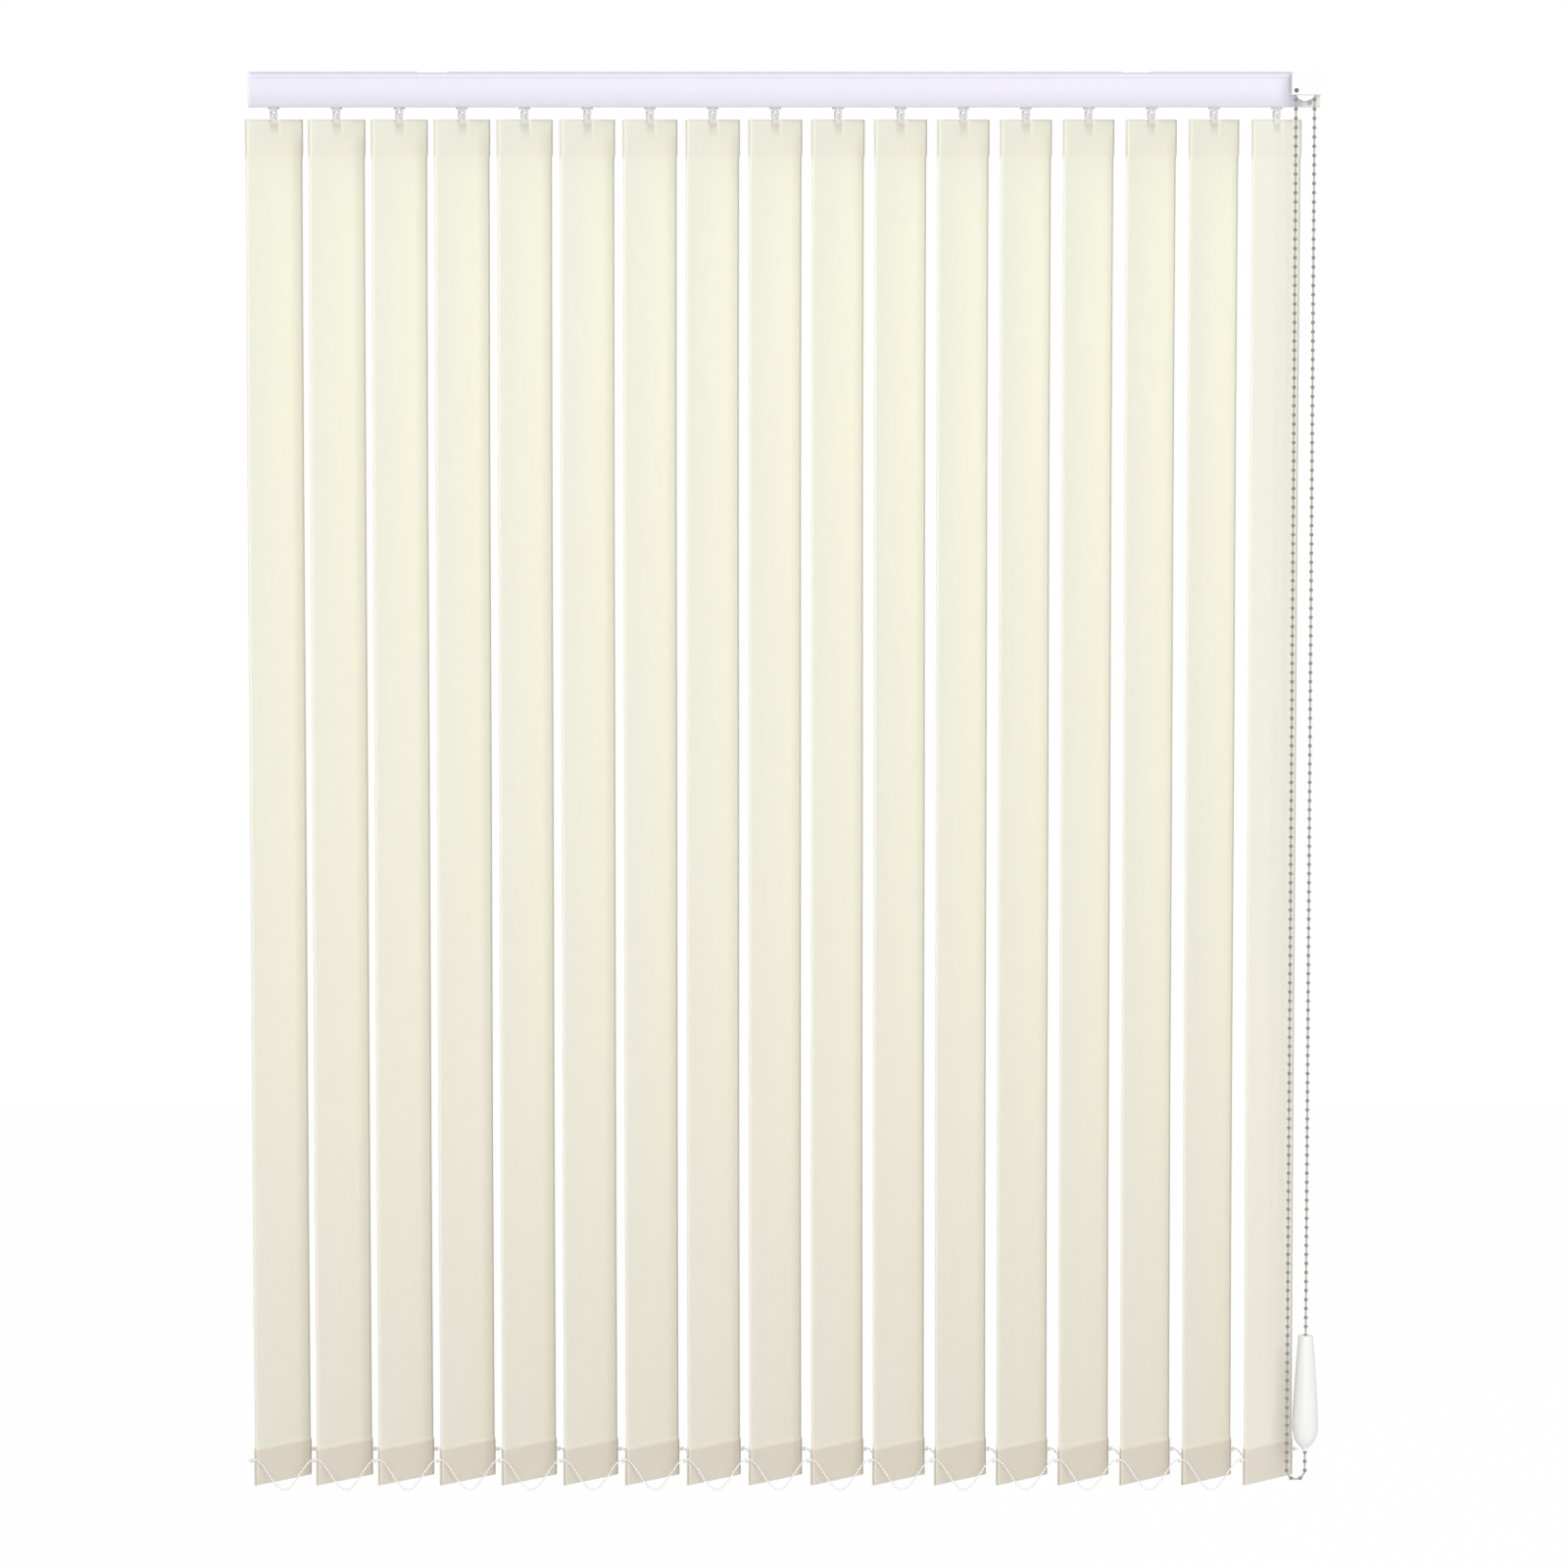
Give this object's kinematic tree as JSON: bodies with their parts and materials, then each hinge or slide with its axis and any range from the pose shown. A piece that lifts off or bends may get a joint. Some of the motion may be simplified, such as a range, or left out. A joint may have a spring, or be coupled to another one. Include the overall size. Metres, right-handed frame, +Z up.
{
  "type": "vertical blind",
  "caption": "Vertical blind: a white headrail with hanging fabric slats that turn together by an endless bead chain and draw to one side, their hems linked by bead chains.",
  "frame": {"origin": "centre of the two bracket screw holes, on the face of the brackets that meets the ceiling", "axes": "+Z up, X along the rail with the control end at +X, front face towards -Y"},
  "size_m": [1.2365, 0.1057, 1.6352],
  "materials": {
    "rail_white": "satin",
    "bracket_steel": "zinc plated",
    "moulded_white": "satin",
    "rod_aluminium": "drawn",
    "bead_chain_grey": "satin",
    "link_chain_white": "satin",
    "slat_fabric": "woven"
  },
  "bodies": {
    "headrail": {"headrail": "rail_white", "brackets": "bracket_steel", "idle_end_cap": "moulded_white", "control_housing": "moulded_white", "control_chain": "bead_chain_grey", "chain_weight": "moulded_white"},
    "tilt_rod": {"tilt_rod": "rod_aluminium"},
    "chain_wheel": {"chain_wheel": "moulded_white"},
    "link_chain_front": {"link_chain_front": "link_chain_white"},
    "link_chain_back": {"link_chain_back": "link_chain_white"},
    "carrier_01": {"carrier_01": "moulded_white"},
    "carrier_02": {"carrier_02": "moulded_white"},
    "carrier_03": {"carrier_03": "moulded_white"},
    "carrier_04": {"carrier_04": "moulded_white"},
    "carrier_05": {"carrier_05": "moulded_white"},
    "carrier_06": {"carrier_06": "moulded_white"},
    "carrier_07": {"carrier_07": "moulded_white"},
    "carrier_08": {"carrier_08": "moulded_white"},
    "carrier_09": {"carrier_09": "moulded_white"},
    "carrier_10": {"carrier_10": "moulded_white"},
    "carrier_11": {"carrier_11": "moulded_white"},
    "carrier_12": {"carrier_12": "moulded_white"},
    "carrier_13": {"carrier_13": "moulded_white"},
    "carrier_14": {"carrier_14": "moulded_white"},
    "carrier_15": {"carrier_15": "moulded_white"},
    "carrier_16": {"carrier_16": "moulded_white"},
    "slat_01": {"slat_01": "slat_fabric", "hanger_and_weight_01": "moulded_white"},
    "slat_02": {"slat_02": "slat_fabric", "hanger_and_weight_02": "moulded_white"},
    "slat_03": {"slat_03": "slat_fabric", "hanger_and_weight_03": "moulded_white"},
    "slat_04": {"slat_04": "slat_fabric", "hanger_and_weight_04": "moulded_white"},
    "slat_05": {"slat_05": "slat_fabric", "hanger_and_weight_05": "moulded_white"},
    "slat_06": {"slat_06": "slat_fabric", "hanger_and_weight_06": "moulded_white"},
    "slat_07": {"slat_07": "slat_fabric", "hanger_and_weight_07": "moulded_white"},
    "slat_08": {"slat_08": "slat_fabric", "hanger_and_weight_08": "moulded_white"},
    "slat_09": {"slat_09": "slat_fabric", "hanger_and_weight_09": "moulded_white"},
    "slat_10": {"slat_10": "slat_fabric", "hanger_and_weight_10": "moulded_white"},
    "slat_11": {"slat_11": "slat_fabric", "hanger_and_weight_11": "moulded_white"},
    "slat_12": {"slat_12": "slat_fabric", "hanger_and_weight_12": "moulded_white"},
    "slat_13": {"slat_13": "slat_fabric", "hanger_and_weight_13": "moulded_white"},
    "slat_14": {"slat_14": "slat_fabric", "hanger_and_weight_14": "moulded_white"},
    "slat_15": {"slat_15": "slat_fabric", "hanger_and_weight_15": "moulded_white"},
    "slat_16": {"slat_16": "slat_fabric", "hanger_and_weight_16": "moulded_white"},
    "slat_17": {"slat_17": "slat_fabric", "hanger_and_weight_17": "moulded_white"}
  },
  "joints": [
    {"name": "traverse_01", "type": "slide", "parent": "headrail", "child": "carrier_01", "axis": [1, 0, 0], "range_m": [0, 0.792], "deforming": ["link_chain_front", "link_chain_back"]},
    {"name": "traverse_02", "type": "slide", "parent": "headrail", "child": "carrier_02", "axis": [1, 0, 0], "range_m": [0, 0.7425]},
    {"name": "traverse_03", "type": "slide", "parent": "headrail", "child": "carrier_03", "axis": [1, 0, 0], "range_m": [0, 0.693]},
    {"name": "traverse_04", "type": "slide", "parent": "headrail", "child": "carrier_04", "axis": [1, 0, 0], "range_m": [0, 0.6435]},
    {"name": "traverse_05", "type": "slide", "parent": "headrail", "child": "carrier_05", "axis": [1, 0, 0], "range_m": [0, 0.594]},
    {"name": "traverse_06", "type": "slide", "parent": "headrail", "child": "carrier_06", "axis": [1, 0, 0], "range_m": [0, 0.5445]},
    {"name": "traverse_07", "type": "slide", "parent": "headrail", "child": "carrier_07", "axis": [1, 0, 0], "range_m": [0, 0.495]},
    {"name": "traverse_08", "type": "slide", "parent": "headrail", "child": "carrier_08", "axis": [1, 0, 0], "range_m": [0, 0.4455]},
    {"name": "traverse_09", "type": "slide", "parent": "headrail", "child": "carrier_09", "axis": [1, 0, 0], "range_m": [0, 0.396]},
    {"name": "traverse_10", "type": "slide", "parent": "headrail", "child": "carrier_10", "axis": [1, 0, 0], "range_m": [0, 0.3465]},
    {"name": "traverse_11", "type": "slide", "parent": "headrail", "child": "carrier_11", "axis": [1, 0, 0], "range_m": [0, 0.297]},
    {"name": "traverse_12", "type": "slide", "parent": "headrail", "child": "carrier_12", "axis": [1, 0, 0], "range_m": [0, 0.2475]},
    {"name": "traverse_13", "type": "slide", "parent": "headrail", "child": "carrier_13", "axis": [1, 0, 0], "range_m": [0, 0.198]},
    {"name": "traverse_14", "type": "slide", "parent": "headrail", "child": "carrier_14", "axis": [1, 0, 0], "range_m": [0, 0.1485]},
    {"name": "traverse_15", "type": "slide", "parent": "headrail", "child": "carrier_15", "axis": [1, 0, 0], "range_m": [0, 0.099]},
    {"name": "traverse_16", "type": "slide", "parent": "headrail", "child": "carrier_16", "axis": [1, 0, 0], "range_m": [0, 0.0495]},
    {"name": "tilt_01", "type": "hinge", "parent": "carrier_01", "child": "slat_01", "pos_m": [-0.582, 0, -0.0416], "axis": [0, 0, 1], "range_deg": [-38, 122]},
    {"name": "tilt_02", "type": "hinge", "parent": "carrier_02", "child": "slat_02", "pos_m": [-0.5105, 0, -0.0416], "axis": [0, 0, 1], "range_deg": [-38, 122]},
    {"name": "tilt_03", "type": "hinge", "parent": "carrier_03", "child": "slat_03", "pos_m": [-0.439, 0, -0.0416], "axis": [0, 0, 1], "range_deg": [-38, 122]},
    {"name": "tilt_04", "type": "hinge", "parent": "carrier_04", "child": "slat_04", "pos_m": [-0.3675, 0, -0.0416], "axis": [0, 0, 1], "range_deg": [-38, 122]},
    {"name": "tilt_05", "type": "hinge", "parent": "carrier_05", "child": "slat_05", "pos_m": [-0.296, 0, -0.0416], "axis": [0, 0, 1], "range_deg": [-38, 122]},
    {"name": "tilt_06", "type": "hinge", "parent": "carrier_06", "child": "slat_06", "pos_m": [-0.2245, 0, -0.0416], "axis": [0, 0, 1], "range_deg": [-38, 122]},
    {"name": "tilt_07", "type": "hinge", "parent": "carrier_07", "child": "slat_07", "pos_m": [-0.153, 0, -0.0416], "axis": [0, 0, 1], "range_deg": [-38, 122]},
    {"name": "tilt_08", "type": "hinge", "parent": "carrier_08", "child": "slat_08", "pos_m": [-0.0815, 0, -0.0416], "axis": [0, 0, 1], "range_deg": [-38, 122]},
    {"name": "tilt_09", "type": "hinge", "parent": "carrier_09", "child": "slat_09", "pos_m": [-0.01, 0, -0.0416], "axis": [0, 0, 1], "range_deg": [-38, 122]},
    {"name": "tilt_10", "type": "hinge", "parent": "carrier_10", "child": "slat_10", "pos_m": [0.0615, 0, -0.0416], "axis": [0, 0, 1], "range_deg": [-38, 122]},
    {"name": "tilt_11", "type": "hinge", "parent": "carrier_11", "child": "slat_11", "pos_m": [0.133, 0, -0.0416], "axis": [0, 0, 1], "range_deg": [-38, 122]},
    {"name": "tilt_12", "type": "hinge", "parent": "carrier_12", "child": "slat_12", "pos_m": [0.2045, 0, -0.0416], "axis": [0, 0, 1], "range_deg": [-38, 122]},
    {"name": "tilt_13", "type": "hinge", "parent": "carrier_13", "child": "slat_13", "pos_m": [0.276, 0, -0.0416], "axis": [0, 0, 1], "range_deg": [-38, 122]},
    {"name": "tilt_14", "type": "hinge", "parent": "carrier_14", "child": "slat_14", "pos_m": [0.3475, 0, -0.0416], "axis": [0, 0, 1], "range_deg": [-38, 122]},
    {"name": "tilt_15", "type": "hinge", "parent": "carrier_15", "child": "slat_15", "pos_m": [0.419, 0, -0.0416], "axis": [0, 0, 1], "range_deg": [-38, 122]},
    {"name": "tilt_16", "type": "hinge", "parent": "carrier_16", "child": "slat_16", "pos_m": [0.4905, 0, -0.0416], "axis": [0, 0, 1], "range_deg": [-38, 122]},
    {"name": "tilt_17", "type": "hinge", "parent": "headrail", "child": "slat_17", "pos_m": [0.562, 0, -0.0416], "axis": [0, 0, 1], "range_deg": [-38, 122], "deforming": ["control_chain"]},
    {"name": "rod_turn", "type": "hinge", "parent": "headrail", "child": "tilt_rod", "pos_m": [0, 0, -0.0148], "axis": [1, 0, 0], "range_deg": [-228, 732]},
    {"name": "chain_wheel_turn", "type": "hinge", "parent": "headrail", "child": "chain_wheel", "pos_m": [0.5908, -0.05169, -0.0226], "axis": [0, 1, 0], "range_deg": [-228, 732]},
    {"name": "link_swing_front", "type": "hinge", "parent": "slat_17", "child": "link_chain_front", "pos_m": [0.52992, -0.03562, -1.6296], "axis": [0, 0, 1], "range_deg": [-122, 38]},
    {"name": "link_swing_back", "type": "hinge", "parent": "slat_17", "child": "link_chain_back", "pos_m": [0.59408, 0.03562, -1.6296], "axis": [0, 0, 1], "range_deg": [-122, 38]}
  ],
  "couplings": [
    {"joint": "traverse_02", "follows": "traverse_01", "ratio": 0.9375},
    {"joint": "traverse_03", "follows": "traverse_01", "ratio": 0.875},
    {"joint": "traverse_04", "follows": "traverse_01", "ratio": 0.8125},
    {"joint": "traverse_05", "follows": "traverse_01", "ratio": 0.75},
    {"joint": "traverse_06", "follows": "traverse_01", "ratio": 0.6875},
    {"joint": "traverse_07", "follows": "traverse_01", "ratio": 0.625},
    {"joint": "traverse_08", "follows": "traverse_01", "ratio": 0.5625},
    {"joint": "traverse_09", "follows": "traverse_01", "ratio": 0.5},
    {"joint": "traverse_10", "follows": "traverse_01", "ratio": 0.4375},
    {"joint": "traverse_11", "follows": "traverse_01", "ratio": 0.375},
    {"joint": "traverse_12", "follows": "traverse_01", "ratio": 0.3125},
    {"joint": "traverse_13", "follows": "traverse_01", "ratio": 0.25},
    {"joint": "traverse_14", "follows": "traverse_01", "ratio": 0.1875},
    {"joint": "traverse_15", "follows": "traverse_01", "ratio": 0.125},
    {"joint": "traverse_16", "follows": "traverse_01", "ratio": 0.0625},
    {"joint": "tilt_01", "follows": "tilt_17", "ratio": 1},
    {"joint": "tilt_02", "follows": "tilt_17", "ratio": 1},
    {"joint": "tilt_03", "follows": "tilt_17", "ratio": 1},
    {"joint": "tilt_04", "follows": "tilt_17", "ratio": 1},
    {"joint": "tilt_05", "follows": "tilt_17", "ratio": 1},
    {"joint": "tilt_06", "follows": "tilt_17", "ratio": 1},
    {"joint": "tilt_07", "follows": "tilt_17", "ratio": 1},
    {"joint": "tilt_08", "follows": "tilt_17", "ratio": 1},
    {"joint": "tilt_09", "follows": "tilt_17", "ratio": 1},
    {"joint": "tilt_10", "follows": "tilt_17", "ratio": 1},
    {"joint": "tilt_11", "follows": "tilt_17", "ratio": 1},
    {"joint": "tilt_12", "follows": "tilt_17", "ratio": 1},
    {"joint": "tilt_13", "follows": "tilt_17", "ratio": 1},
    {"joint": "tilt_14", "follows": "tilt_17", "ratio": 1},
    {"joint": "tilt_15", "follows": "tilt_17", "ratio": 1},
    {"joint": "tilt_16", "follows": "tilt_17", "ratio": 1},
    {"joint": "rod_turn", "follows": "tilt_17", "ratio": 6},
    {"joint": "chain_wheel_turn", "follows": "tilt_17", "ratio": 6},
    {"joint": "link_swing_front", "follows": "tilt_17", "ratio": -1},
    {"joint": "link_swing_back", "follows": "tilt_17", "ratio": -1}
  ]
}
